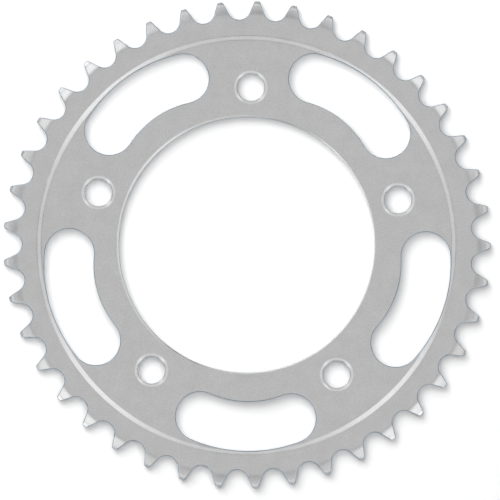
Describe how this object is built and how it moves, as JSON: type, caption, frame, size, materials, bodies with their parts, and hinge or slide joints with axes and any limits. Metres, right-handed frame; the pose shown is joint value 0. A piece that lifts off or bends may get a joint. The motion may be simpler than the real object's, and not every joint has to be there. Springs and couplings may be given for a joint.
{
  "type": "rear sprocket",
  "caption": "Flat rear sprocket for a motorcycle's drive chain, with chamfered teeth, a large centre bore, bolt holes and curved lightening slots.",
  "frame": {"origin": "on the axis of the bore, in the plane of the flat hub-side face", "axes": "+Z along the bore axis, out of the stepped face, away from the wheel; +Y through the centre of one bolt hole; +X completes a right-handed frame"},
  "size_m": [0.2135, 0.2135, 0.008],
  "materials": {
    "plated_steel": "satin zinc plate over fine blasted steel"
  },
  "bodies": {
    "root": {"sprocket": "plated_steel"}
  },
  "joints": []
}
